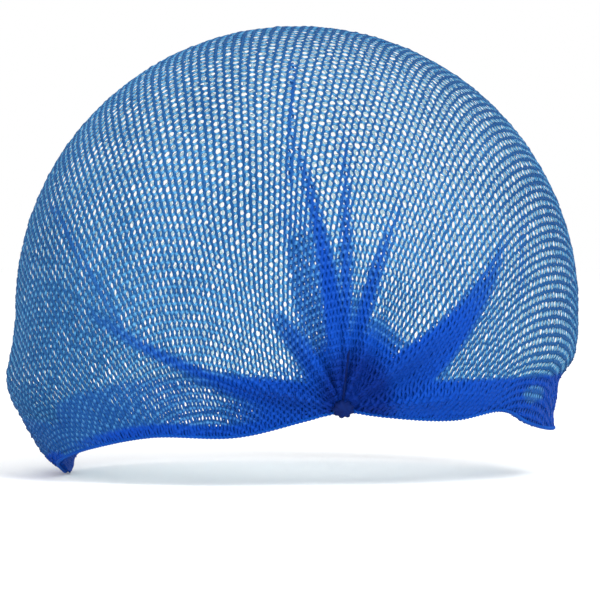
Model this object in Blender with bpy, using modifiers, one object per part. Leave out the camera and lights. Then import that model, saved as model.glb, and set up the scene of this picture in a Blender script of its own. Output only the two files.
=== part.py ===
"""Disposable hairnet: a knitted cap in the form it takes when worn.

The cap is pulled smooth over the crown and gathered at one point of its elastic rim,
from which folds fan out. Metres, +Z up, +X towards the front, -X towards the back, and
-Y the side with the gather. The origin is the middle of the rim opening.
"""

import math
from collections import namedtuple

import bmesh
import bpy
import numpy as np
from mathutils import Matrix, Vector

# Driving dimensions
CAP_LENGTH = 0.210  # front to back, at the widest level
CAP_WIDTH = 0.176  # near side to far side, at the widest level
CROWN_RISE = 0.105  # from the widest level up to the crown
SIDE_DROP = 0.0425  # from the widest level down to the rim's mean height
NET_WALL = 0.0010
BAND_THICKNESS = 0.0014
SEAT_GAP = 0.0003
FOLD_HEIGHT = 0.0060
GATHER_DENT = 0.0050
GATHER_SPREAD = 0.024  # radius of the dent round the gathered point
KNOT_WIDTH = 0.0075
KNOT_HEIGHT = 0.0060
KNOT_DEPTH = 0.0034
KNOT_LOBES = 5
KNOT_LOBE_SHARE = 0.10

# The gather, as a turn in degrees from +X through -Y
GATHER_TURN = 80.0
NEAR_SIDE_TURN = 90.0

# How finely the net is divided: columns run out of the gather like meridians
NET_COLUMNS = 54
NET_ROWS = 32
ROW_CROWDING = 1.35
COLUMN_CROWDING = 3.0
KNOT_SEGMENTS = 20
KNOT_RINGS = 10
BAND_SEGMENTS = 2
RIM_PROBE = 0.03  # how far up the hemisphere the wall's slope is read

# Folds: angle and half width in degrees seen from the near side, measured at the gather
# from +X; reach as a share of CROWN_RISE and height as a share of FOLD_HEIGHT
Fold = namedtuple("Fold", "name angle half_width reach height")
FOLDS = (
    Fold("rim_roll", 7, 7, 0.90, 0.85),
    Fold("right_fold", 41, 8, 0.98, 1.00),
    Fold("right_petal_edge", 72, 5, 0.75, 0.70),
    Fold("upright_fold", 88, 4, 1.00, 0.55),
    Fold("crown_fold", 101, 7, 1.05, 0.95),
    Fold("short_fold", 122, 5, 0.50, 0.70),
    Fold("left_band", 164, 6, 0.90, 0.90),
)

# The rim's height: turn in degrees from +X through -Y, height as a share of SIDE_DROP
RimPoint = namedtuple("RimPoint", "turn height")
RIM = (
    RimPoint(0, -0.03),
    RimPoint(27, 0.05),
    RimPoint(40, 0.18),
    RimPoint(53, 0.12),
    RimPoint(70, 0.15),
    RimPoint(80, 0.20),
    RimPoint(87, 0.14),
    RimPoint(102, 0.00),
    RimPoint(123, -0.02),
    RimPoint(140, -0.13),
    RimPoint(160, -0.29),
    RimPoint(180, -0.43),
    RimPoint(205, -0.30),
    RimPoint(240, -0.04),
    RimPoint(270, 0.08),
    RimPoint(320, 0.07),
    RimPoint(360, -0.03),
)

# The wall below the widest level: drop as a share of SIDE_DROP, and on each side the
# distance out from the middle as a share of the half length or half width
WallLevel = namedtuple("WallLevel", "drop back front near far")
WALL = (
    WallLevel(0.00, 1.000, 1.000, 1.000, 1.000),
    WallLevel(0.25, 1.008, 0.998, 0.990, 0.992),
    WallLevel(0.45, 1.022, 0.980, 0.972, 0.980),
    WallLevel(0.60, 1.033, 0.937, 0.952, 0.965),
    WallLevel(0.80, 1.016, 0.922, 0.925, 0.945),
    WallLevel(0.95, 0.982, 0.912, 0.902, 0.925),
    WallLevel(1.05, 0.960, 0.915, 0.888, 0.910),
    WallLevel(1.30, 0.893, 0.890, 0.860, 0.880),
    WallLevel(1.45, 0.832, 0.870, 0.845, 0.865),
)

# Folds fade in over these shares of the half width, from the middle to the near side
FOLD_START_SHARE = 0.06
FOLD_FULL_SHARE = 0.35

# A fold rises out of the gather over this share of its reach
FOLD_ONSET_SHARE = 0.16

SHADE_ANGLE = math.radians(50)  # edges sharper than this are shaded as edges
ANGLE_STEPS = 720  # how finely the half turn is read when the columns are spread
UNIT_RADIUS = 0.5  # of the ball that the knot is scaled from

Paint = namedtuple("Paint", "name colour roughness metallic")
NET_PAINT = Paint("knitted_net", (0.010, 0.105, 0.480), 0.62, 0.0)
BAND_PAINT = Paint("elastic_hem", (0.006, 0.050, 0.330), 0.58, 0.0)
KNOT_PAINT = Paint("bunched_thread", (0.004, 0.030, 0.230), 0.66, 0.0)


def clear_scene():
    for obj in list(bpy.data.objects):
        bpy.data.objects.remove(obj, do_unlink=True)


def smooth_read(rows, value, key, at):
    """A column of a table read between its rows along a smooth curve."""
    keys = np.array([getattr(row, key) for row in rows], float)
    values = np.array([getattr(row, value) for row in rows], float)
    slopes = np.gradient(values, keys)
    slopes[0] = 0.0
    slopes[-1] = 0.0
    at = min(max(at, keys[0]), keys[-1])
    i = min(max(int(np.searchsorted(keys, at)) - 1, 0), len(keys) - 2)
    span = keys[i + 1] - keys[i]
    t = (at - keys[i]) / span
    start = (1 + 2 * t) * (1 - t) ** 2 * values[i] + t * (1 - t) ** 2 * span * slopes[i]
    end = t * t * (3 - 2 * t) * values[i + 1] + t * t * (t - 1) * span * slopes[i + 1]
    return start + end


def smooth_step(low, high, value):
    t = min(max((value - low) / (high - low), 0.0), 1.0)
    return t * t * (3 - 2 * t)


def wall_share(azimuth, drop):
    """How far out the wall stands at a drop below the widest level."""
    along = math.cos(azimuth)
    across = math.sin(azimuth)
    end = "front" if along > 0 else "back"
    side = "far" if across > 0 else "near"
    end_share = smooth_read(WALL, end, "drop", drop)
    side_share = smooth_read(WALL, side, "drop", drop)
    return end_share * along**2 + side_share * across**2


def cap_point(direction):
    """The smooth cap's point for a direction on the unit hemisphere above the rim."""
    azimuth = math.atan2(direction.y, direction.x)
    pull = math.radians(NEAR_SIDE_TURN - GATHER_TURN)
    azimuth += pull * max(0.0, -math.sin(azimuth)) ** 2
    turn = math.degrees(-azimuth) % 360.0
    level = min(max(direction.z, 0.0), 1.0)
    rim = SIDE_DROP * smooth_read(RIM, "height", "turn", turn)
    height = level * (SIDE_DROP + CROWN_RISE) + rim * (1 - level) ** 3
    if height > SIDE_DROP:
        rise = (height - SIDE_DROP) / CROWN_RISE
        share = math.sqrt(max(0.0, 1 - rise * rise))
    else:
        share = wall_share(azimuth, (SIDE_DROP - height) / SIDE_DROP)
    out_x = CAP_LENGTH / 2 * share * math.cos(azimuth)
    out_y = CAP_WIDTH / 2 * share * math.sin(azimuth)
    return Vector((out_x, out_y, height))


def outward(point):
    """The cap's outward direction at one of its points."""
    rise = max(0.0, point.z - SIDE_DROP)
    slope = Vector(
        (
            point.x / (CAP_LENGTH / 2) ** 2,
            point.y / (CAP_WIDTH / 2) ** 2,
            rise / CROWN_RISE**2,
        )
    )
    return slope.normalized()


def fan_direction(angle, along):
    """A direction on the unit hemisphere: angle round the gather, and way from it."""
    return Vector(
        (
            math.sin(along) * math.cos(angle),
            -math.cos(along),
            math.sin(along) * math.sin(angle),
        )
    )


def fold_height(fold, angle, distance):
    """How far one fold lifts the net, at an angle and a distance from the gather."""
    reach = fold.reach * CROWN_RISE
    if distance >= reach:
        return 0.0
    across = (angle - fold.angle) / fold.half_width
    share = distance / reach
    onset = 1 - math.exp(-((share / FOLD_ONSET_SHARE) ** 2))
    fade = (1 - share * share) ** 2
    return FOLD_HEIGHT * fold.height * math.exp(-across * across) * onset * fade


def relief(point, gather):
    """The folds and the dent round the gather, as one distance along the outward way."""
    near = smooth_step(FOLD_START_SHARE, FOLD_FULL_SHARE, -point.y / (CAP_WIDTH / 2))
    if near <= 0.0:
        return 0.0
    right = point.x - gather.x
    up = point.z - gather.z
    distance = math.hypot(right, up)
    angle = math.degrees(math.atan2(up, right))
    lift = sum(fold_height(fold, angle, distance) for fold in FOLDS)
    dent = GATHER_DENT * math.exp(-((distance / GATHER_SPREAD) ** 2))
    return near * (lift - dent)


def net_point(direction, gather):
    point = cap_point(direction)
    return point + outward(point) * relief(point, gather)


def fan_angle(view_angle):
    """The angle on the unit hemisphere that shows as this angle from the near side."""
    view = math.radians(view_angle)
    rise = (SIDE_DROP + CROWN_RISE) / (CAP_LENGTH / 2)
    return math.degrees(math.atan2(math.sin(view) / rise, math.cos(view)))


def column_angles():
    """Angles of the net's columns, crowded where there are folds."""
    angles = np.linspace(0.0, 180.0, ANGLE_STEPS + 1)
    weight = np.ones_like(angles)
    for fold in FOLDS:
        at = fan_angle(fold.angle)
        weight += COLUMN_CROWDING * np.exp(-(((angles - at) / fold.half_width) ** 2))
    total = np.concatenate([[0.0], np.cumsum((weight[1:] + weight[:-1]) / 2)])
    wanted = np.linspace(0.0, total[-1], NET_COLUMNS + 1)
    return np.interp(wanted, total, angles)


def row_way(share):
    """The way from the gather to the far side for a row, crowded at the gather."""
    return math.pi * share**ROW_CROWDING


def add_object(name, mesh, paint, collection):
    obj = bpy.data.objects.new(name, mesh)
    collection.objects.link(obj)
    material = bpy.data.materials.new(paint.name)
    material.use_nodes = True
    shader = material.node_tree.nodes["Principled BSDF"]
    shader.inputs["Base Color"].default_value = (*paint.colour, 1.0)
    shader.inputs["Roughness"].default_value = paint.roughness
    shader.inputs["Metallic"].default_value = paint.metallic
    obj.data.materials.append(material)
    return obj


def shade(mesh):
    mesh.shade_smooth()
    mesh.set_sharp_from_angle(angle=SHADE_ANGLE)


def make_crown_net(collection, gather):
    """Half a sphere with its poles at the gather and at the far rim, moved to the cap."""
    bm = bmesh.new()
    bmesh.ops.create_uvsphere(
        bm, u_segments=2 * NET_COLUMNS, v_segments=NET_ROWS, radius=1.0
    )
    bmesh.ops.rotate(bm, verts=bm.verts, matrix=Matrix.Rotation(math.pi / 2, 3, "X"))
    half_column = math.sin(math.pi / NET_COLUMNS) / NET_ROWS
    below = [v for v in bm.verts if v.co.z < -half_column]
    bmesh.ops.delete(bm, geom=below, context="VERTS")
    angles = column_angles()
    for vert in bm.verts:
        way = math.acos(min(max(-vert.co.y, -1.0), 1.0))
        turn = math.atan2(max(vert.co.z, 0.0), vert.co.x)
        column = round(turn / math.pi * NET_COLUMNS)
        angle = math.radians(angles[column])
        vert.co = net_point(fan_direction(angle, row_way(way / math.pi)), gather)
    bmesh.ops.recalc_face_normals(bm, faces=bm.faces)
    mesh = bpy.data.meshes.new("crown_net")
    bm.to_mesh(mesh)
    bm.free()
    shade(mesh)
    net = add_object("crown_net", mesh, NET_PAINT, collection)
    wall = net.modifiers.new("wall", "SOLIDIFY")
    wall.thickness = NET_WALL
    wall.offset = 0.0
    wall.use_rim = True
    return net


def rim_directions():
    """Directions of the net's rim, once round from the gather by the front."""
    ways = [row_way(row / NET_ROWS) for row in range(NET_ROWS + 1)]
    right = [fan_direction(0.0, way) for way in ways]
    left = [fan_direction(math.pi, way) for way in ways[1:-1]]
    return right + left[::-1]


def make_rim_band(collection, gather):
    """The elastic hem: a round cord that carries on the net's wall below its rim."""
    directions = rim_directions()
    points = [net_point(direction, gather) for direction in directions]
    raised = [(d + Vector((0.0, 0.0, RIM_PROBE))).normalized() for d in directions]
    above = [net_point(direction, gather) for direction in raised]
    below = SEAT_GAP + BAND_THICKNESS / 2
    curve = bpy.data.curves.new("rim_band", "CURVE")
    curve.dimensions = "3D"
    curve.bevel_depth = BAND_THICKNESS / 2
    curve.bevel_resolution = BAND_SEGMENTS
    spline = curve.splines.new("POLY")
    spline.points.add(len(points) - 1)
    spline.use_cyclic_u = True
    for i, point in enumerate(points):
        along = (points[(i + 1) % len(points)] - points[i - 1]).normalized()
        down = point - above[i]
        down = (down - along * down.dot(along)).normalized()
        spline.points[i].co = (*(point + down * below), 1.0)
    return add_object("rim_band", curve, BAND_PAINT, collection)


def make_gather_knot(collection, gather):
    """The bunched thread that ties the gather, a lobed lump on the net's outer face."""
    bm = bmesh.new()
    bmesh.ops.create_uvsphere(
        bm, u_segments=KNOT_SEGMENTS, v_segments=KNOT_RINGS, radius=UNIT_RADIUS
    )
    for vert in bm.verts:
        around = math.atan2(vert.co.y, vert.co.x)
        lobe = 1 + KNOT_LOBE_SHARE * math.cos(KNOT_LOBES * around)
        across = vert.co.x * KNOT_WIDTH * lobe
        up = vert.co.y * KNOT_HEIGHT * lobe
        vert.co = Vector((across, up, vert.co.z * KNOT_DEPTH))
    seat = fan_direction(0.0, 0.0)
    foot = net_point(seat, gather)
    out = outward(cap_point(seat))
    across = Vector((0.0, 0.0, 1.0)).cross(out).normalized()
    frame = Matrix((across, out.cross(across), out)).transposed()
    bmesh.ops.transform(bm, matrix=frame.to_4x4(), verts=bm.verts)
    clear = max(NET_WALL, BAND_THICKNESS) / 2 + SEAT_GAP + KNOT_DEPTH / 2
    bmesh.ops.translate(bm, vec=foot + out * clear, verts=bm.verts)
    bmesh.ops.recalc_face_normals(bm, faces=bm.faces)
    mesh = bpy.data.meshes.new("gather_knot")
    bm.to_mesh(mesh)
    bm.free()
    shade(mesh)
    return add_object("gather_knot", mesh, KNOT_PAINT, collection)


def main():
    clear_scene()
    collection = bpy.data.collections.new("disposable_hairnet")
    bpy.context.scene.collection.children.link(collection)
    gather = cap_point(fan_direction(0.0, 0.0))
    make_crown_net(collection, gather)
    make_rim_band(collection, gather)
    make_gather_knot(collection, gather)


main()
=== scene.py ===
"""Disposable hairnet: its strands, elastic hem and gather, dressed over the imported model.

The knit is a flat lattice of zigzag chains tied by legs. It is laid over the cap as a fan of
chains, drawn in at the gather, bunched along the folds and lifted by them. Deeper layers of
finer knit show where the net lies folded under itself. Metres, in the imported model's own
frame: +X front, -Y the side with the gather, +Z up.
"""

import math
from collections import namedtuple
from functools import lru_cache

import bpy
import numpy as np
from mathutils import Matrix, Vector

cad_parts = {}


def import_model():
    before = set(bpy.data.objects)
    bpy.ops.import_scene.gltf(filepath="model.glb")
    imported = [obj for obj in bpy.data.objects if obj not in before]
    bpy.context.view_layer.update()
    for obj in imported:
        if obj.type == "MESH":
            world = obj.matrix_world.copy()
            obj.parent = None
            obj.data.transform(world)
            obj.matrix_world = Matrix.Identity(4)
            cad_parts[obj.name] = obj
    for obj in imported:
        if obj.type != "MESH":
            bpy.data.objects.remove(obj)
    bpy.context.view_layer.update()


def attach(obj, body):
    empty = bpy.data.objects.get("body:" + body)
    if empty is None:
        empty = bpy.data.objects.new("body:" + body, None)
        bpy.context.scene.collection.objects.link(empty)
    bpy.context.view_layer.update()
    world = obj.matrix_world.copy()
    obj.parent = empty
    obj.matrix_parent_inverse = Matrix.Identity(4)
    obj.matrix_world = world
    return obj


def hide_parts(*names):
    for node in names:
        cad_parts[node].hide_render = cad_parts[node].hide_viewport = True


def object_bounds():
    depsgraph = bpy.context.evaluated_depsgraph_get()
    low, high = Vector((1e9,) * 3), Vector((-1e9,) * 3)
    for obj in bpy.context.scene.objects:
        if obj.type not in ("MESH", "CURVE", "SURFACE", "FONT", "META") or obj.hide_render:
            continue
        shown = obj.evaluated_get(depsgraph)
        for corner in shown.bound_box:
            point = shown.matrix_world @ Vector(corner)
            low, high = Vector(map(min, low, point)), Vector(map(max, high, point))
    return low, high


TINY = 1e-6  # a length or a step too small to matter
NO_LENGTH = 1e-12

# The cap's form, the same sizes and formulas as the model's own source
CAP_LENGTH = 0.210
CAP_WIDTH = 0.176
CROWN_RISE = 0.105
SIDE_DROP = 0.0425
NET_WALL = 0.0010
BAND_THICKNESS = 0.0014
SEAT_GAP = 0.0003
FOLD_HEIGHT = 0.0060
GATHER_DENT = 0.0050
GATHER_SPREAD = 0.024
KNOT_WIDTH = 0.0075
KNOT_HEIGHT = 0.0060
KNOT_DEPTH = 0.0034
GATHER_TURN = 80.0
NEAR_SIDE_TURN = 90.0
FOLD_START_SHARE = 0.06
FOLD_FULL_SHARE = 0.35
FOLD_ONSET_SHARE = 0.16
RIM_PROBE = 0.03

# Folds: angle and half width in degrees seen from the near side, measured at the gather
# from +X; reach as a share of CROWN_RISE, height as a share of FOLD_HEIGHT, and how much
# of the knit bunches up along the fold
Fold = namedtuple("Fold", "name angle half_width reach height bunch")
FOLDS = (
    Fold("rim_roll", 7, 7, 0.90, 0.85, 0.10),
    Fold("right_fold", 41, 8, 0.98, 1.00, 0.20),
    Fold("right_petal_edge", 72, 5, 0.75, 0.70, 0.10),
    Fold("upright_fold", 88, 4, 1.00, 0.55, 0.10),
    Fold("crown_fold", 101, 7, 1.05, 0.95, 0.20),
    Fold("short_fold", 122, 5, 0.50, 0.70, 0.10),
    Fold("left_band", 164, 6, 0.90, 0.90, 0.20),
)

# The rim's height: turn in degrees from +X through -Y, height as a share of SIDE_DROP
RimPoint = namedtuple("RimPoint", "turn height")
RIM = (
    RimPoint(0, -0.03),
    RimPoint(27, 0.05),
    RimPoint(40, 0.18),
    RimPoint(53, 0.12),
    RimPoint(70, 0.15),
    RimPoint(80, 0.20),
    RimPoint(87, 0.14),
    RimPoint(102, 0.00),
    RimPoint(123, -0.02),
    RimPoint(140, -0.13),
    RimPoint(160, -0.29),
    RimPoint(180, -0.43),
    RimPoint(205, -0.30),
    RimPoint(240, -0.04),
    RimPoint(270, 0.08),
    RimPoint(320, 0.07),
    RimPoint(360, -0.03),
)

# The wall below the widest level: drop as a share of SIDE_DROP, and on each side the
# distance out from the middle as a share of the half length or half width
WallLevel = namedtuple("WallLevel", "drop back front near far")
WALL = (
    WallLevel(0.00, 1.000, 1.000, 1.000, 1.000),
    WallLevel(0.25, 1.008, 0.998, 0.990, 0.992),
    WallLevel(0.45, 1.022, 0.980, 0.972, 0.980),
    WallLevel(0.60, 1.033, 0.937, 0.952, 0.965),
    WallLevel(0.80, 1.016, 0.922, 0.925, 0.945),
    WallLevel(0.95, 0.982, 0.912, 0.902, 0.925),
    WallLevel(1.05, 0.960, 0.915, 0.888, 0.910),
    WallLevel(1.30, 0.893, 0.890, 0.860, 0.880),
    WallLevel(1.45, 0.832, 0.870, 0.845, 0.865),
)

# The knit: zigzag chains that run side to side over the cap, tied by legs between them.
# Each chain lies in a plane, and the planes fan out from a hinge line below the cap.
CHAIN_PITCH = 0.0032
HOLE_PITCH = 0.0030  # along a chain
ZIGZAG = 0.00034
FAN_TURN = math.radians(15)  # where the crown's chain faces, from +X through -Y
FAN_TWIST = math.radians(13)  # how much further the front chain is turned, the back less
HINGE_DEPTH = 1.0  # below the rim, as a share of the hemisphere's radius
LEG_CONVERGENCE = 0.60  # 0: holes as wide everywhere along a chain, 1: legs run together
OPEN_START = 0.030  # on the far side the knit opens out from this far down
OPEN_REACH = 0.260  # and more the smaller this is
KNIT_HALF = 0.240  # the lattice reaches this far from the crown along and across
TABLE_ROWS = 180
TABLE_STEPS = 240
TABLE_SWEEP = math.radians(115)  # how far the table goes down each side of a chain
TABLE_LEAN = 1.12  # how far to front and back, where 1 is the rim
BELOW_RIM_FALL = 0.130  # how the cap carries on below the rim, for strands that end there
RIM_MARGIN = -0.06  # the lowest height on the unit hemisphere that a joint is kept at
KNIT_UNEVEN = 0.00012  # how far joints stray from even knit
KNIT_SEED = 7
STRAND_UNEVEN = 0.10  # how much strands vary in thickness, as a share

# The gather draws in this much of the hemisphere, in radians, and lets go further out
DRAW_RADIUS = 0.16
DRAW_FADE = (1.6, 2.8)
BUNCH_FADE = (0.75, 1.45)  # the bunching along the folds lets go between these
ANGLE_STEPS = 720

# Where the knit lies folded under itself: wedges from the gather as seen from the near
# side, with angles in degrees from +X, half widths at the foot and the tip, and how
# thickly it lies there
Wedge = namedtuple("Wedge", "name foot_angle tip_angle reach foot_width tip_width thickness")
WEDGES = (
    Wedge("right_fold", 21, 48, 0.090, 0.0124, 0.0002, 1.2),
    Wedge("right_foot", 14, 24, 0.040, 0.0100, 0.0060, 1.2),
    Wedge("petal_edge", 83, 74, 0.080, 0.0044, 0.0008, 0.95),
    Wedge("upright_fold", 89, 90, 0.104, 0.0028, 0.0009, 0.9),
    Wedge("crown_fold", 94, 101, 0.108, 0.0056, 0.0002, 1.0),
    Wedge("drape", 102, 104, 0.088, 0.0125, 0.0050, 0.38),
    Wedge("short_fold", 123, 126, 0.046, 0.0056, 0.0026, 1.0),
    Wedge("left_band", 169, 167, 0.064, 0.0088, 0.0012, 1.2),
    Wedge("left_crease", 173, 159, 0.102, 0.0020, 0.0014, 1.1),
)
WEDGE_SOFTNESS = 0.0021
WEDGE_FADE = 2.4  # how late along its reach a wedge thins out

# Oval patches as seen from the near side: middle, half sizes, and between which shares of
# them each fades
Patch = namedtuple("Patch", "x z half_width half_height outer inner")
CORE = Patch(0.0042, 0.0030, 0.0185, 0.0250, 1.45, 0.45)  # thickest knit, from the gather
BARE = Patch(0.0695, 0.0035, 0.0046, 0.0034, 1.2, 0.7)  # part of the cuff, from the gather
TIP = Patch(-0.0880, -0.0160, 0.0060, 0.0060, 1.3, 0.8)  # gathered up where the rim is lowest
CORE_THICKNESS = 1.6
BARE_MOST = 0.75  # the share of the folds that is missing there

# Creases away from the gather, seen from the near side: both ends, half width, thickness
Crease = namedtuple("Crease", "x_from z_from x_to z_to width thickness")
CREASES = (
    Crease(-0.0015, 0.132, -0.0025, 0.088, 0.0011, 0.24),
    Crease(-0.0620, 0.037, -0.0890, 0.080, 0.0012, 0.16),
    Crease(0.0818, 0.078, 0.0805, 0.048, 0.0011, 0.14),
)
CREASE_FADE = (1.6, 0.6)  # shares of the half width that it thins out between

# The folded edge: a cuff up to this height over the gather ahead of it, and strips along
# the rim behind it, each with its height over the rim, where it ends and its thickness
CUFF_HEIGHT = 0.0100
CUFF_FRONT_FADE = (-0.020, 0.030)  # its top comes down between these places across the cap
CUFF_SOFTNESS = 0.0014
Strip = namedtuple("Strip", "height end thickness")
STRIPS = (
    Strip(0.0125, -0.036, 1.0),
    Strip(0.0200, -0.130, 0.19),
    Strip(0.0034, -0.094, 1.0),
)
STRIP_SOFTNESS = 0.018

# Folded layers: the least thickness that shows each, slide and lean of its knit, how deep
# it lies, how thick its strands are, and whether the gather draws it in
Layer = namedtuple("Layer", "least slide lean sink strand drawn_in")
LAYERS = (
    Layer(0.20, 0.0011, 0.30, 0.0006, 0.66, True),
    Layer(0.50, 0.0021, -0.40, 0.0012, 0.92, False),
    Layer(0.80, 0.0006, 0.75, 0.0018, 1.00, False),
    Layer(1.05, 0.0016, 1.25, 0.0023, 1.00, False),
)
LAYER_SCALE = 0.72  # the size of their holes as a share of the net's

# Strand radii at the joints and half way, and how much of the joints' shade stays half way
Strand = namedtuple("Strand", "joint middle shade")
LEG = Strand(0.00080, 0.00044, 0.0)
LINK = Strand(0.00084, 0.00074, 0.9)
ROOM = (0.45, 1.3)  # shares of it in the most crowded and the most open knit
FOLD_SWELL = 0.30  # strands are thicker by this share where knit lies folded
FOLD_SWELL_FROM = (0.0, 0.2)
FAR_STRAND_SHARE = 0.90  # strands on the far side are stretched thinner
FAR_FADE = (-0.025, 0.015)
STRAND_FLATNESS = 0.36  # thickness as a share of width

# Where the near side's strands are thicker or thinner than elsewhere: middle, reach, share
Fullness = namedtuple("Fullness", "x z reach gain")
FULLNESS = (
    Fullness(-0.022, 0.072, 0.052, 0.40),
    Fullness(-0.066, 0.062, 0.036, 0.12),
    Fullness(0.056, 0.076, 0.044, -0.08),
    Fullness(0.004, 0.142, 0.034, -0.14),
    Fullness(-0.060, 0.110, 0.036, -0.08),
    Fullness(-0.066, 0.006, 0.026, -0.14),
    Fullness(-0.085, 0.026, 0.030, 0.38),
    Fullness(-0.012, 0.040, 0.024, 0.36),
    Fullness(0.050, 0.118, 0.040, -0.14),
)

# How strands are made, and the pieces that they are grouped in
STRAND_SIDES = 4
INNER_SIDE = 2  # which side of a strand faces into the cap
NEAR_LENGTHS = 2  # tube lengths in each strand of the near side
OTHER_LENGTHS = 1  # and of all other knit
SECTORS = 6  # pieces that the net is cut in, the first half of them on the near side

# The hem: two plies twisted together
HEM_PLY_RADIUS = 0.00040
HEM_PLY_OFFSET = 0.00034
HEM_TWIST = 0.0030
HEM_STEP = 0.00045
HEM_SAMPLES = 700
CORD_SIDES = 6  # of the hem's plies and of the seam

# The seam that runs up out of the gather
SEAM_RADIUS = 0.00050
SEAM_START = 0.02  # radians from the gather
SEAM_LENGTH = 0.17
SEAM_ANGLE = 89.0
SEAM_STEPS = 40

# The knot: a bunch of strands
KNOT_ROWS = 36
KNOT_COLUMNS = 64
KNOT_RIDGES = 9
KNOT_RIDGE_DEPTH = 0.10
KNOT_SPIRAL = 2.2

# Tints by mesh attribute: over what range of it, the tint, how much of it at most, and
# how it is blended
Tint = namedtuple("Tint", "attribute span colour most blend")
NET_TINTS = (
    Tint("joint", (0.0, 1.0), (0.07, 0.20, 0.38), 1.0, "MULTIPLY"),
    # The strands' faces towards the cap's inside are painted pale: a painted highlight that makes
    # the far side's strands look lit from behind, though they lie in shade
    Tint("inner", (0.0, 1.0), (0.62, 0.79, 0.84), 1.0, "MIX"),
    # Where the knit lies folded it turns a deeper, darker blue: partly the denser dyed layers and
    # partly painted shade in the folds, the creases and round the gather
    Tint("folded", (0.0, 0.85), (0.001, 0.046, 0.340), 0.96, "MIX"),
    Tint("folded", (0.95, 1.65), (0.20, 0.28, 0.44), 0.95, "MULTIPLY"),
)

# Threads: two colours that each drifts between, its roughness, how finely it drifts, tints
Thread = namedtuple("Thread", "name dark light roughness drift tints")
NET_THREAD = Thread(
    "net_nylon", (0.055, 0.230, 0.440), (0.110, 0.340, 0.575), 0.60, 28.0, NET_TINTS
)
HEM_THREAD = Thread("hem_thread", (0.001, 0.040, 0.250), (0.003, 0.070, 0.360), 0.60, 60.0, ())
# The knot's and the seam's thread: a very dark navy, partly the bunched thread's own deeper colour
# and partly painted shade, darkened so that the knot, which stands out and catches the light, stays
# as dark as the shaded core
KNOT_THREAD_AND_SHADE = Thread("knot_thread_and_shade", (0.001, 0.006, 0.055), (0.001, 0.012, 0.095), 0.65, 300.0, ())
SHINE = 0.06
DRIFT_DETAIL = 5.0
DRIFT_STOPS = (0.32, 0.68)
FIBRE_SCALE = 2600.0
FIBRE_DETAIL = 3.0
FIBRE_BUMP = 0.25
FIBRE_HEIGHT = 0.0002

# The camera looks along +Y and a little down; the model's origin falls on ORIGIN_PX
PICTURE_PX = 600
MM_PER_PX = 0.3745
MIDDLE_PX = (300.0, 300.0)
ORIGIN_PX = (297.0, 421.0)
CAMERA_DISTANCE = 1.5
CAMERA_RISE = math.radians(1.5)
CAMERA_REACH = 50.0
SENSOR_MM = 36.0

# Lights, the white surroundings and the floor
Light = namedtuple("Light", "name place target size power")
LIGHTS = (
    Light("key", (0.9, -1.3, 1.4), (0.0, 0.0, 0.06), 1.1, 28.0),
    Light("fill", (-1.4, -1.1, 0.7), (0.0, 0.0, 0.06), 1.2, 9.0),
    Light("low_fill", (0.1, -1.9, 0.22), (0.0, 0.0, -0.02), 1.0, 14.0),
)
WORLD_STRENGTH = 1.0
FLOOR_GAP = 0.0002
FLOOR_SIZE = 8.0
FLOOR_COLOUR = (0.98, 0.98, 0.98)
FLOOR_ROUGHNESS = 1.0


def smooth_step(low, high, value):
    t = np.clip((value - low) / (high - low), 0.0, 1.0)
    return t * t * (3 - 2 * t)


def unit(vectors):
    lengths = np.linalg.norm(vectors, axis=-1, keepdims=True)
    return vectors / np.maximum(lengths, NO_LENGTH)


def smooth_read(rows, value, key, at):
    """A column of a table read between its rows along a smooth curve."""
    keys = np.array([getattr(row, key) for row in rows], float)
    values = np.array([getattr(row, value) for row in rows], float)
    slopes = np.gradient(values, keys)
    slopes[[0, -1]] = 0.0
    at = np.clip(at, keys[0], keys[-1])
    i = np.clip(np.searchsorted(keys, at) - 1, 0, len(keys) - 2)
    span = keys[i + 1] - keys[i]
    t = (at - keys[i]) / span
    start = (1 + 2 * t) * (1 - t) ** 2 * values[i] + t * (1 - t) ** 2 * span * slopes[i]
    end = t * t * (3 - 2 * t) * values[i + 1] + t * t * (t - 1) * span * slopes[i + 1]
    return start + end


def wall_shares(azimuth, drop):
    """How far out the wall stands at each drop below the widest level."""
    along = np.cos(azimuth)
    across = np.sin(azimuth)
    front = smooth_read(WALL, "front", "drop", drop)
    back = smooth_read(WALL, "back", "drop", drop)
    near = smooth_read(WALL, "near", "drop", drop)
    far = smooth_read(WALL, "far", "drop", drop)
    end = np.where(along > 0, front, back)
    side = np.where(across > 0, far, near)
    return end * along**2 + side * across**2


def cap_points(directions):
    """The smooth cap's points for directions on the unit hemisphere above the rim."""
    x, y, z = directions.T
    azimuth = np.arctan2(y, x)
    pull = math.radians(NEAR_SIDE_TURN - GATHER_TURN)
    azimuth = azimuth + pull * np.maximum(0.0, -np.sin(azimuth)) ** 2
    turn = np.degrees(-azimuth) % 360.0
    level = np.clip(z, 0.0, 1.0)
    rim = SIDE_DROP * smooth_read(RIM, "height", "turn", turn)
    height = level * (SIDE_DROP + CROWN_RISE) + rim * (1 - level) ** 3
    rise = np.clip((height - SIDE_DROP) / CROWN_RISE, 0.0, 1.0)
    above = np.sqrt(1 - rise * rise)
    below = wall_shares(azimuth, (SIDE_DROP - height) / SIDE_DROP)
    share = np.where(height > SIDE_DROP, above, below)
    out_x = CAP_LENGTH / 2 * share * np.cos(azimuth)
    out_y = CAP_WIDTH / 2 * share * np.sin(azimuth)
    return np.stack([out_x, out_y, height], axis=1)


def outward(points):
    """The cap's outward directions at its points."""
    rise = np.maximum(0.0, points[:, 2] - SIDE_DROP)
    slope_x = points[:, 0] / (CAP_LENGTH / 2) ** 2
    slope_y = points[:, 1] / (CAP_WIDTH / 2) ** 2
    return unit(np.stack([slope_x, slope_y, rise / CROWN_RISE**2], axis=1))


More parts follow.
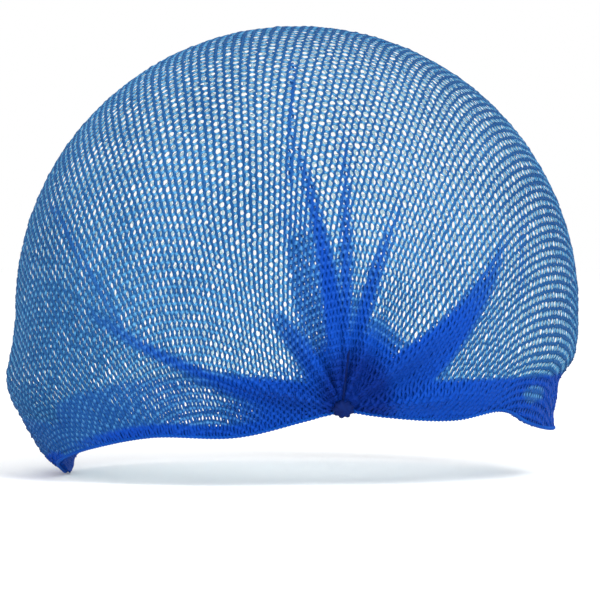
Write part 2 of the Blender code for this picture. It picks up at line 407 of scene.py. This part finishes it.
def fan_directions(angle, along):
    """Directions on the unit hemisphere: angle round the gather, and way from it."""
    angle, along = np.broadcast_arrays(angle, along)
    flat = np.sin(along)
    return np.stack([flat * np.cos(angle), -np.cos(along), flat * np.sin(angle)], axis=-1)


GATHER = cap_points(fan_directions(0.0, np.zeros(1)))[0]


def relief(points):
    """The folds and the dent round the gather, as distances along the outward way."""
    near = smooth_step(FOLD_START_SHARE, FOLD_FULL_SHARE, -points[:, 1] / (CAP_WIDTH / 2))
    right = points[:, 0] - GATHER[0]
    up = points[:, 2] - GATHER[2]
    distance = np.hypot(right, up)
    angle = np.degrees(np.arctan2(up, right))
    lift = -GATHER_DENT * np.exp(-((distance / GATHER_SPREAD) ** 2))
    for fold in FOLDS:
        share = np.clip(distance / (fold.reach * CROWN_RISE), 0.0, 1.0)
        across = (angle - fold.angle) / fold.half_width
        onset = 1 - np.exp(-((share / FOLD_ONSET_SHARE) ** 2))
        fade = (1 - share * share) ** 2
        lift = lift + FOLD_HEIGHT * fold.height * np.exp(-across * across) * onset * fade
    return near * lift


def net_points(directions):
    """Points of the net with its folds, and the outward directions there."""
    points = cap_points(directions)
    out = outward(points)
    return points + out * relief(points)[:, None], out


def band_points(directions):
    """Points of the hem's middle line below the net's rim."""
    rim, _ = net_points(directions)
    raised = directions + np.array([0.0, 0.0, RIM_PROBE])
    above, _ = net_points(unit(raised))
    return rim + unit(rim - above) * (SEAT_GAP + BAND_THICKNESS / 2)


def chain_directions(lean, turn):
    """Directions on the chain whose plane leans forward so much, and a turn along it."""
    facing = FAN_TURN + FAN_TWIST * np.asarray(lean) / math.atan(1 / HINGE_DEPTH)
    away = HINGE_DEPTH * np.sin(lean)
    radius = np.sqrt(1 - away**2)
    forward = away * np.cos(lean) + radius * np.cos(turn) * np.sin(lean)
    height = radius * np.cos(turn) * np.cos(lean) - away * np.sin(lean)
    across = radius * np.sin(turn)
    x = forward * np.cos(facing) + across * np.sin(facing)
    y = across * np.cos(facing) - forward * np.sin(facing)
    return np.stack([x, y, height], axis=-1)


def run_lengths(directions):
    """Lengths over the cap along rows of directions, carried on below the rim."""
    low = np.minimum(directions[..., 2], 0.0)
    points = cap_points(directions.reshape(-1, 3)).reshape(directions.shape)
    points[..., 2] += low * BELOW_RIM_FALL
    steps = np.linalg.norm(np.diff(points, axis=1), axis=2)
    return np.concatenate([np.zeros((len(steps), 1)), np.cumsum(steps, axis=1)], axis=1)


def opened(length):
    """Flat knit for a length on the far side, where it is stretched open."""
    beyond = np.maximum(length - OPEN_START, 0.0)
    return np.minimum(length, OPEN_START) + OPEN_REACH * (1 - np.exp(-beyond / OPEN_REACH))


def wrap_table():
    """For chains across the cap, the turn at even steps along each."""
    most = math.atan(1 / HINGE_DEPTH) * TABLE_LEAN
    leans = np.linspace(-most, most, TABLE_ROWS + 1)
    turns = np.linspace(0.0, TABLE_SWEEP, TABLE_STEPS + 1)
    reaches = np.linspace(0.0, KNIT_HALF, TABLE_STEPS + 1)
    ridge = chain_directions(leans, np.zeros_like(leans))[None]
    along = run_lengths(ridge)[0]
    along = along - np.interp(0.0, leans, along)
    tables = []
    for side in (-1, 1):
        lean_grid, turn_grid = np.meshgrid(leans, side * turns, indexing="ij")
        lengths = run_lengths(chain_directions(lean_grid, turn_grid))
        middle = lengths[TABLE_ROWS // 2]
        flat = lengths * (1 - LEG_CONVERGENCE) + middle * LEG_CONVERGENCE
        flat = flat if side < 0 else opened(flat)
        tables.append(np.array([np.interp(reaches, row, turns) for row in flat]))
    return leans, along, reaches, tables


def wrap(flat):
    """Directions on the sphere for places on the flat knit."""
    leans, along, reaches, tables = wrap_table()
    lean = np.interp(flat[:, 0], along, leans)
    row = (lean - leans[0]) / (leans[1] - leans[0])
    column = np.clip(np.abs(flat[:, 1]) / reaches[1], 0, TABLE_STEPS - TINY)
    i = np.clip(row.astype(int), 0, TABLE_ROWS - 1)
    j = column.astype(int)
    a = row - i
    b = column - j
    turn = np.zeros(len(flat))
    for table, side in zip(tables, (-1, 1)):
        low = table[i, j] * (1 - b) + table[i, j + 1] * b
        high = table[i + 1, j] * (1 - b) + table[i + 1, j + 1] * b
        here = np.sign(flat[:, 1]) * side > 0
        turn = np.where(here, side * (low * (1 - a) + high * a), turn)
    return chain_directions(lean, turn)


def bunched_angle(even):
    """Angles round the gather where the knit is bunched along the folds."""
    angles = np.linspace(0.0, math.pi, ANGLE_STEPS + 1)
    rise = (SIDE_DROP + CROWN_RISE) / (CAP_LENGTH / 2)
    weight = np.ones_like(angles)
    for fold in FOLDS:
        view = math.radians(fold.angle)
        at = math.atan2(math.sin(view) / rise, math.cos(view))
        weight += fold.bunch * np.exp(-(((angles - at) / math.radians(fold.half_width)) ** 2))
    total = np.concatenate([[0.0], np.cumsum((weight[1:] + weight[:-1]) / 2)])
    return np.interp(even / math.pi, total / total[-1], angles)


def draw_in(directions):
    """Moves directions towards the gather, as the drawn-in knit lies."""
    along = np.arccos(np.clip(-directions[:, 1], -1.0, 1.0))
    angle = np.arctan2(np.maximum(directions[:, 2], 0.0), directions[:, 0])
    place = np.arccosh(along * np.exp(1j * angle) / DRAW_RADIUS + 0j)
    drawn = DRAW_RADIUS * np.sinh(np.abs(place.real))
    keep = smooth_step(*DRAW_FADE, along)
    drawn = drawn * (1 - keep) + along * keep
    turn = np.clip(np.abs(place.imag), 0.0, math.pi)
    turn = turn * (1 - keep) + angle * keep
    loose = smooth_step(*BUNCH_FADE, drawn)
    turn = bunched_angle(turn) * (1 - loose) + turn * loose
    return fan_directions(turn, drawn)


@lru_cache(maxsize=None)
def near_rim():
    """The net's rim on the near side: places along and heights, from back to front."""
    angles = np.linspace(0.0, math.pi, ANGLE_STEPS + 1)
    rim, _ = net_points(np.stack([-np.cos(angles), -np.sin(angles), 0 * angles], axis=1))
    rising = np.maximum.accumulate(rim[:, 0])
    return rising, rim[:, 2]


def patch_share(patch, x, z):
    """1 well inside a patch and 0 outside it."""
    away = np.hypot((x - patch.x) / patch.half_width, (z - patch.z) / patch.half_height)
    return smooth_step(patch.outer, patch.inner, away)


def wedge_thickness(right, up):
    """How thickly the folds that leave the gather lie at distances from it."""
    distance = np.hypot(right, up)
    angle = np.arctan2(up, right)
    thick = np.zeros_like(distance)
    for wedge in WEDGES:
        share = np.clip(distance / wedge.reach, 0.0, 1.0)
        middle = np.radians(wedge.foot_angle + (wedge.tip_angle - wedge.foot_angle) * share)
        aside = np.abs(distance * np.sin(angle - middle))
        width = wedge.foot_width + (wedge.tip_width - wedge.foot_width) * share
        within = smooth_step(width + WEDGE_SOFTNESS, width - WEDGE_SOFTNESS, aside)
        within = within * (np.cos(angle - middle) > 0) * (1 - share**WEDGE_FADE)
        thick = np.maximum(thick, wedge.thickness * within)
    return thick


def crease_thickness(x, z):
    """How thickly the creases away from the gather lie."""
    thick = np.zeros_like(x)
    for crease in CREASES:
        from_x = x - crease.x_from
        from_z = z - crease.z_from
        run = np.array([crease.x_to - crease.x_from, crease.z_to - crease.z_from])
        share = np.clip((from_x * run[0] + from_z * run[1]) / (run @ run), 0.0, 1.0)
        aside = np.hypot(from_x - share * run[0], from_z - share * run[1])
        within = smooth_step(*CREASE_FADE, aside / crease.width)
        thick = np.maximum(thick, crease.thickness * within)
    return thick


def edge_thickness(points, right, up):
    """How thickly the folded edge lies along the rim, ahead of the gather and behind it."""
    top = CUFF_HEIGHT * (1 - smooth_step(*CUFF_FRONT_FADE, points[:, 1]))
    ahead = smooth_step(top + CUFF_SOFTNESS, top - CUFF_SOFTNESS, up)
    over_rim = points[:, 2] - np.interp(points[:, 0], *near_rim())
    behind = np.zeros_like(up)
    for strip in STRIPS:
        low = smooth_step(strip.height + CUFF_SOFTNESS, strip.height - CUFF_SOFTNESS, over_rim)
        full = smooth_step(strip.end - STRIP_SOFTNESS, strip.end + STRIP_SOFTNESS, right)
        behind = np.maximum(behind, strip.thickness * low * full)
    return np.where(right > 0, ahead, behind * (points[:, 1] < 0))


def folded_thickness(points):
    """How thickly the knit lies folded under itself, 1 in the full folds and more."""
    near = points[:, 1] < 0
    right = points[:, 0] - GATHER[0]
    up = points[:, 2] - GATHER[2]
    thick = np.maximum(CORE_THICKNESS * patch_share(CORE, right, up), wedge_thickness(right, up))
    thick = np.maximum(thick, crease_thickness(points[:, 0], points[:, 2])) * near
    bare = BARE_MOST * patch_share(BARE, right, up) * near
    whole = np.maximum(thick, edge_thickness(points, right, up)) * (1 - bare)
    return np.maximum(whole, patch_share(TIP, points[:, 0], points[:, 2]))


def brick_edges(rows, columns):
    """Links along the chains and legs between them, for joints in rows and columns."""
    row, column = np.meshgrid(np.arange(rows), np.arange(columns), indexing="ij")
    high = (row + column) % 2 == 1
    index = np.arange(rows * columns).reshape(rows, columns)
    links = np.stack([index[:, :-1], index[:, 1:]], axis=-1).reshape(-1, 2)
    legs = np.stack([index[:-1], index[1:]], axis=-1)[high[:-1]].reshape(-1, 2)
    return row, column, high, legs, links


def flat_lattice(slide=0.0, lean=0.0, scale=1.0):
    """The flat knit's joints, the legs between chains, and the links along them."""
    link = HOLE_PITCH / 2 * scale
    rows = 2 * int(KNIT_HALF / CHAIN_PITCH / scale) + 1
    columns = 2 * int(KNIT_HALF / link) + 1
    row, column, high, legs, links = brick_edges(rows, columns)
    x = (row - rows // 2) * CHAIN_PITCH * scale + np.where(high, ZIGZAG, -ZIGZAG) * scale
    y = (column - columns // 2) * link
    place = (x + slide + 1j * (y + slide)) * complex(math.cos(lean), math.sin(lean))
    joints = np.stack([place.real, place.imag], axis=-1).reshape(-1, 2)
    return joints, legs, links


def tube_rings(centre, along, out, radius):
    """Corners of rings round strand points, flattened against the net."""
    side = unit(np.cross(out, along))
    up = np.cross(along, side)
    corners = []
    for k in range(STRAND_SIDES):
        turn = 2 * math.pi * (k + 0.5) / STRAND_SIDES
        offset = side * math.cos(turn) + up * (math.sin(turn) * STRAND_FLATNESS)
        corners.append(centre + offset * radius[:, None])
    return np.stack(corners, axis=1)


def strand_tubes(points, out, share, edges, strand, lengths):
    """Vertices, faces, joint shades and the marks of the faces towards the cap's inside, which get
    painted light, of a tube in lengths for each edge.
    """
    first = points[edges[:, 0]]
    last = points[edges[:, 1]]
    along = unit(last - first)
    facing = unit(out[edges[:, 0]] + out[edges[:, 1]])
    thin = (share[edges[:, 0]] + share[edges[:, 1]]) / 2
    rings = []
    shades = []
    for at in np.linspace(0.0, 1.0, lengths + 1):
        waist = 1 - abs(2 * at - 1) if lengths > 1 else 0.5
        radius = strand.joint * (1 - waist) + strand.middle * waist
        rings.append(tube_rings(first * (1 - at) + last * at, along, facing, radius * thin))
        shades.append(1 - waist + strand.shade * waist)
    vertices = np.stack(rings, axis=1).reshape(-1, 3)
    base = (np.arange(len(edges)) * (lengths + 1) * STRAND_SIDES)[:, None]
    faces = []
    inner = []
    for ring in range(lengths):
        for k in range(STRAND_SIDES):
            a = ring * STRAND_SIDES + k
            b = ring * STRAND_SIDES + (k + 1) % STRAND_SIDES
            faces.append(base + np.array([[a, b, b + STRAND_SIDES, a + STRAND_SIDES]]))
            inner.append(float(k == INNER_SIDE))
    shade = np.tile(np.repeat(shades, STRAND_SIDES), len(edges))
    return vertices, np.stack(faces, axis=1).reshape(-1, 4), shade, np.tile(inner, len(edges))


def mark(mesh, name, domain, values):
    attribute = mesh.attributes.new(name, "FLOAT", domain)
    attribute.data.foreach_set("value", values.astype(np.float32))


def quad_mesh(name, vertices, faces):
    mesh = bpy.data.meshes.new(name)
    mesh.vertices.add(len(vertices))
    mesh.vertices.foreach_set("co", vertices.astype(np.float32).ravel())
    mesh.loops.add(faces.size)
    mesh.loops.foreach_set("vertex_index", faces.astype(np.int32).ravel())
    mesh.polygons.add(len(faces))
    mesh.polygons.foreach_set("loop_start", np.arange(0, faces.size, 4, dtype=np.int32))
    mesh.update(calc_edges=True)
    mesh.validate()
    mesh.shade_smooth()
    return mesh


def add_piece(name, mesh, material, slot, *nodes):
    piece = bpy.data.objects.new(name, mesh)
    bpy.context.scene.collection.objects.link(piece)
    mesh.materials.append(material)
    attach(piece, "root")
    if nodes:
        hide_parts(*nodes)


def lay_knit(slide=0.0, lean=0.0, sink=0.0, scale=1.0, drawn_in=True):
    """One layer of knit: points, outward ways, edges, which joints show or end at the hem."""
    flat, legs, links = flat_lattice(slide, lean, scale)
    directions = wrap(flat)
    shown = directions[:, 2] > RIM_MARGIN
    ends = directions[:, 2] <= 0.0
    level = directions.copy()
    level[:, 2] = np.maximum(level[:, 2], 0.0)
    drawn = draw_in(unit(level)) if drawn_in else unit(level)
    points, out = net_points(drawn)
    points += np.random.default_rng(KNIT_SEED).normal(0.0, KNIT_UNEVEN * scale, points.shape)
    points[ends] = band_points(drawn[ends])
    points = points - out * sink
    return points, out, (legs, links), shown, ends


def strand_shares(points):
    """How thick strands are from place to place."""
    far = smooth_step(*FAR_FADE, points[:, 1])
    gain = np.zeros(len(points))
    for spot in FULLNESS:
        away = np.hypot(points[:, 0] - spot.x, points[:, 2] - spot.z) / spot.reach
        gain += spot.gain * np.exp(-away * away)
    return (1 + gain) * (1 - far) + FAR_STRAND_SHARE * far


def joint_room(points, edges, nominal):
    """How long the edges at each joint are, as a share of their length in even knit."""
    length = np.linalg.norm(points[edges[:, 0]] - points[edges[:, 1]], axis=1) / nominal
    total = np.zeros(len(points))
    count = np.zeros(len(points))
    for end in (0, 1):
        np.add.at(total, edges[:, end], length)
        np.add.at(count, edges[:, end], 1)
    return total / np.maximum(count, 1)


def knit_piece(name, knit, pick, lengths, material):
    """One mesh of the strands picked out of a layer of knit."""
    points, out, edge_sets, shares = knit
    parts = []
    count = 0
    for edges, strand, share in zip(edge_sets, (LEG, LINK), shares):
        picked = edges[pick(edges)]
        span = np.linalg.norm(points[picked[:, 0]] - points[picked[:, 1]], axis=1)
        picked = picked[span > TINY]
        vertices, faces, shade, inner = strand_tubes(points, out, share, picked, strand, lengths)
        parts.append((vertices, faces + count, shade, inner))
        count += len(vertices)
    vertices, faces, shade, inner = [np.concatenate(part) for part in zip(*parts)]
    mesh = quad_mesh(name, vertices, faces)
    mark(mesh, "joint", "POINT", shade)
    # how thickly the knit lies folded, which the material turns darker, partly as painted shade
    mark(mesh, "folded", "POINT", folded_thickness(vertices))
    # the faces towards the cap's inside, which the material paints pale as painted light
    mark(mesh, "inner", "FACE", inner)
    add_piece(name, mesh, material, "knitted_net", "crown_net")


def knit_shares(points, legs, links, scale, strand):
    """Strand thickness at each joint, of legs and of links, thinner where knit is crowded."""
    thin = strand_shares(points) * strand
    leg_room = joint_room(points, links, HOLE_PITCH / 2 * scale)
    link_room = joint_room(points, legs, (CHAIN_PITCH - 2 * ZIGZAG) * scale)
    thin = thin * np.random.default_rng(KNIT_SEED).normal(1.0, STRAND_UNEVEN, len(points))
    thin = thin * (1 + FOLD_SWELL * smooth_step(*FOLD_SWELL_FROM, folded_thickness(points)))
    return thin * np.clip(leg_room, *ROOM), thin * np.clip(link_room, *ROOM)


def make_net(material):
    points, out, (legs, links), shown, ends = lay_knit()
    knit = (points, out, (legs, links), knit_shares(points, legs, links, 1.0, 1.0))
    turn = np.arctan2(points[:, 1], points[:, 0]) / (2 * math.pi) + 0.5
    sector = np.clip((turn * SECTORS).astype(int), 0, SECTORS - 1)

    def in_sector(k):
        return lambda edges: (
            shown[edges].all(axis=1) & ~ends[edges].all(axis=1) & (sector[edges[:, 0]] == k)
        )

    for k in range(SECTORS):
        lengths = NEAR_LENGTHS if k < SECTORS / 2 else OTHER_LENGTHS
        knit_piece(f"net_strands_{k}", knit, in_sector(k), lengths, material)


def make_folds(material):
    """The knit that lies folded under itself round the gather and along the rim."""
    for number, layer in enumerate(LAYERS):
        points, out, (legs, links), shown, ends = lay_knit(
            layer.slide, layer.lean, layer.sink, LAYER_SCALE, layer.drawn_in
        )
        shares = knit_shares(points, legs, links, LAYER_SCALE, layer.strand)
        knit = (points, out, (legs, links), shares)
        deep = shown & (folded_thickness(points) > layer.least)

        def pick(edges):
            return deep[edges].all(axis=1) & ~ends[edges].all(axis=1)

        knit_piece(f"folded_under_{number}", knit, pick, OTHER_LENGTHS, material)


def square_ways(path, out, closed):
    """Two directions at each point of a path, square to it and to each other."""
    if closed:
        along = unit(np.roll(path, -1, axis=0) - np.roll(path, 1, axis=0))
    else:
        along = unit(np.gradient(path, axis=0))
    side = unit(np.cross(out, along))
    return side, np.cross(along, side)


def swept_tube(path, out, radius, closed):
    """A tube of one radius along a path, as vertices and faces."""
    side, up = square_ways(path, out, closed)
    turns = 2 * math.pi * np.arange(CORD_SIDES) / CORD_SIDES
    ring = np.cos(turns)[None, :, None] * side[:, None] + np.sin(turns)[None, :, None] * up[:, None]
    vertices = (path[:, None] + ring * radius).reshape(-1, 3)
    index = np.arange(len(vertices)).reshape(-1, CORD_SIDES)
    turned = np.roll(index, -1, axis=1)
    rings = [index, turned, np.roll(turned, -1, axis=0), np.roll(index, -1, axis=0)]
    faces = np.stack(rings, axis=-1)
    if not closed:
        faces = faces[:-1]
    return vertices, faces.reshape(-1, 4)


def even_loop(points, step):
    """A closed loop read at even steps."""
    closed = np.concatenate([points, points[:1]])
    way = np.concatenate([[0.0], np.cumsum(np.linalg.norm(np.diff(closed, axis=0), axis=1))])
    count = int(way[-1] / step)
    at = np.linspace(0.0, way[-1], count, endpoint=False)
    return np.stack([np.interp(at, way, closed[:, k]) for k in range(3)], axis=1), way[-1]


def make_hem(material):
    ways = np.linspace(0.0, math.pi, HEM_SAMPLES)
    right = fan_directions(0.0, ways)
    left = fan_directions(math.pi, ways[1:-1])[::-1]
    loop = band_points(np.concatenate([right, left]))
    path, length = even_loop(loop, HEM_STEP)
    out = outward(path)
    side, up = square_ways(path, out, True)
    twists = round(length / HEM_TWIST)
    parts = []
    for ply in range(2):
        turn = 2 * math.pi * twists * np.arange(len(path)) / len(path) + math.pi * ply
        offset = np.cos(turn)[:, None] * side + np.sin(turn)[:, None] * up
        parts.append(swept_tube(path + offset * HEM_PLY_OFFSET, out, HEM_PLY_RADIUS, True))
    vertices = np.concatenate([parts[0][0], parts[1][0]])
    faces = np.concatenate([parts[0][1], parts[1][1] + len(parts[0][0])])
    mesh = quad_mesh("twisted_hem", vertices, faces)
    add_piece("twisted_hem", mesh, material, "elastic_hem", "rim_band")


def make_seam(material):
    view = math.radians(SEAM_ANGLE)
    ways = np.linspace(SEAM_START, SEAM_LENGTH, SEAM_STEPS)
    path, out = net_points(fan_directions(view, ways))
    path = path + out * SEAM_RADIUS / 2
    vertices, faces = swept_tube(path, out, SEAM_RADIUS, False)
    add_piece("gather_seam", quad_mesh("gather_seam", vertices, faces), material, "bunched_thread")


def make_knot(material):
    points, ways = net_points(fan_directions(0.0, np.zeros(1)))
    foot = points[0]
    out = ways[0]
    across = unit(np.cross(np.array([0.0, 0.0, 1.0]), out))
    up = np.cross(out, across)
    row, column = np.meshgrid(
        np.linspace(0.0, math.pi, KNOT_ROWS), np.arange(KNOT_COLUMNS), indexing="ij"
    )
    turn = 2 * math.pi * column / KNOT_COLUMNS
    ridge = 1 + KNOT_RIDGE_DEPTH * np.cos(KNOT_RIDGES * turn + KNOT_SPIRAL * row)
    x = np.sin(row) * np.cos(turn) * ridge * KNOT_WIDTH / 2
    y = np.sin(row) * np.sin(turn) * ridge * KNOT_HEIGHT / 2
    z = np.cos(row) * KNOT_DEPTH / 2
    clear = max(NET_WALL, BAND_THICKNESS) / 2 + SEAT_GAP + KNOT_DEPTH / 2
    local = foot + out * clear
    vertices = local + x[..., None] * across + y[..., None] * up + z[..., None] * out
    index = np.arange(KNOT_ROWS * KNOT_COLUMNS).reshape(KNOT_ROWS, KNOT_COLUMNS)
    turned = np.roll(index, -1, axis=1)
    faces = np.stack([index[:-1], turned[:-1], turned[1:], index[1:]], axis=-1).reshape(-1, 4)
    mesh = quad_mesh("bunched_knot", vertices.reshape(-1, 3), faces)
    add_piece("bunched_knot", mesh, material, "bunched_thread", "gather_knot")


def tinted(nodes, links, colour, tint):
    """The colour changed towards a tint where a mesh attribute is high."""
    value = nodes.new("ShaderNodeAttribute")
    value.attribute_name = tint.attribute
    reach = nodes.new("ShaderNodeMapRange")
    reach.inputs["From Min"].default_value = tint.span[0]
    reach.inputs["From Max"].default_value = tint.span[1]
    reach.inputs["To Max"].default_value = tint.most
    mix = nodes.new("ShaderNodeMix")
    mix.data_type = "RGBA"
    mix.blend_type = tint.blend
    mix.inputs["B"].default_value = (*tint.colour, 1.0)
    links.new(value.outputs["Fac"], reach.inputs["Value"])
    links.new(reach.outputs["Result"], mix.inputs["Factor"])
    links.new(colour, mix.inputs["A"])
    return mix.outputs["Result"]


def thread_material(thread):
    """Nylon thread: colour that drifts from place to place, tints by mesh attribute, among them
    painted light and painted shade, and fine fibre bumps.
    """
    material = bpy.data.materials.new(thread.name)
    material.use_nodes = True
    nodes = material.node_tree.nodes
    links = material.node_tree.links
    shader = nodes["Principled BSDF"]
    shader.inputs["Roughness"].default_value = thread.roughness
    shader.inputs["Specular IOR Level"].default_value = SHINE
    place = nodes.new("ShaderNodeTexCoord")
    drift = nodes.new("ShaderNodeTexNoise")
    drift.inputs["Scale"].default_value = thread.drift
    drift.inputs["Detail"].default_value = DRIFT_DETAIL
    ramp = nodes.new("ShaderNodeValToRGB")
    colours = (thread.dark, thread.light)
    for stop, position, colour in zip(ramp.color_ramp.elements, DRIFT_STOPS, colours):
        stop.position = position
        stop.color = (*colour, 1.0)
    fibre = nodes.new("ShaderNodeTexNoise")
    fibre.inputs["Scale"].default_value = FIBRE_SCALE
    fibre.inputs["Detail"].default_value = FIBRE_DETAIL
    bump = nodes.new("ShaderNodeBump")
    bump.inputs["Strength"].default_value = FIBRE_BUMP
    bump.inputs["Distance"].default_value = FIBRE_HEIGHT
    links.new(place.outputs["Object"], drift.inputs["Vector"])
    links.new(place.outputs["Object"], fibre.inputs["Vector"])
    links.new(drift.outputs["Fac"], ramp.inputs["Fac"])
    colour = ramp.outputs["Color"]
    for tint in thread.tints:
        colour = tinted(nodes, links, colour, tint)
    links.new(colour, shader.inputs["Base Color"])
    links.new(fibre.outputs["Fac"], bump.inputs["Height"])
    links.new(bump.outputs["Normal"], shader.inputs["Normal"])
    return material


def plain_material(name, colour, roughness):
    material = bpy.data.materials.new(name)
    material.use_nodes = True
    shader = material.node_tree.nodes["Principled BSDF"]
    shader.inputs["Base Color"].default_value = (*colour, 1.0)
    shader.inputs["Roughness"].default_value = roughness
    return material


def make_stage(lowest):
    mesh = bpy.data.meshes.new("floor")
    half = FLOOR_SIZE / 2
    corners = [(-half, -half, 0), (half, -half, 0), (half, half, 0), (-half, half, 0)]
    mesh.from_pydata(corners, [], [(0, 1, 2, 3)])
    mesh.materials.append(plain_material("pale_floor", FLOOR_COLOUR, FLOOR_ROUGHNESS))
    floor = bpy.data.objects.new("floor", mesh)
    floor.location.z = lowest - FLOOR_GAP
    bpy.context.scene.collection.objects.link(floor)


def make_light(light):
    data = bpy.data.lights.new(light.name, "AREA")
    data.shape = "DISK"
    data.size = light.size
    data.energy = light.power
    lamp = bpy.data.objects.new(light.name, data)
    lamp.location = light.place
    way = Vector(light.target) - Vector(light.place)
    lamp.rotation_euler = way.to_track_quat("-Z", "Y").to_euler()
    bpy.context.scene.collection.objects.link(lamp)


def make_world():
    world = bpy.data.worlds.new("soft_white")
    world.use_nodes = True
    sky = world.node_tree.nodes["Background"]
    sky.inputs["Color"].default_value = (1.0, 1.0, 1.0, 1.0)
    sky.inputs["Strength"].default_value = WORLD_STRENGTH
    bpy.context.scene.world = world


def make_camera():
    data = bpy.data.cameras.new("camera")
    data.sensor_width = SENSOR_MM
    frame_width = PICTURE_PX * MM_PER_PX / 1000
    data.lens = SENSOR_MM * CAMERA_DISTANCE / frame_width
    data.clip_end = CAMERA_REACH
    x = (MIDDLE_PX[0] - ORIGIN_PX[0]) * MM_PER_PX / 1000
    z = (ORIGIN_PX[1] - MIDDLE_PX[1]) * MM_PER_PX / 1000
    target = Vector((x, 0.0, z))
    back = Vector((0.0, -math.cos(CAMERA_RISE), math.sin(CAMERA_RISE)))
    camera = bpy.data.objects.new("camera", data)
    camera.location = target + back * CAMERA_DISTANCE
    camera.rotation_euler = (-back).to_track_quat("-Z", "Y").to_euler()
    bpy.context.scene.collection.objects.link(camera)
    bpy.context.scene.camera = camera


def plain_numbers(box):
    return [[round(float(v), 6) for v in corner] for corner in box]


def main():
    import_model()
    make_camera()
    make_world()
    for light in LIGHTS:
        make_light(light)
    bpy.context.scene.view_settings.view_transform = "Standard"
    net = thread_material(NET_THREAD)
    make_net(net)
    make_folds(net)
    make_hem(thread_material(HEM_THREAD))
    knot = thread_material(KNOT_THREAD_AND_SHADE)
    make_seam(knot)
    make_knot(knot)
    dressed = plain_numbers(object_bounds())
    make_stage(dressed[0][2])


main()
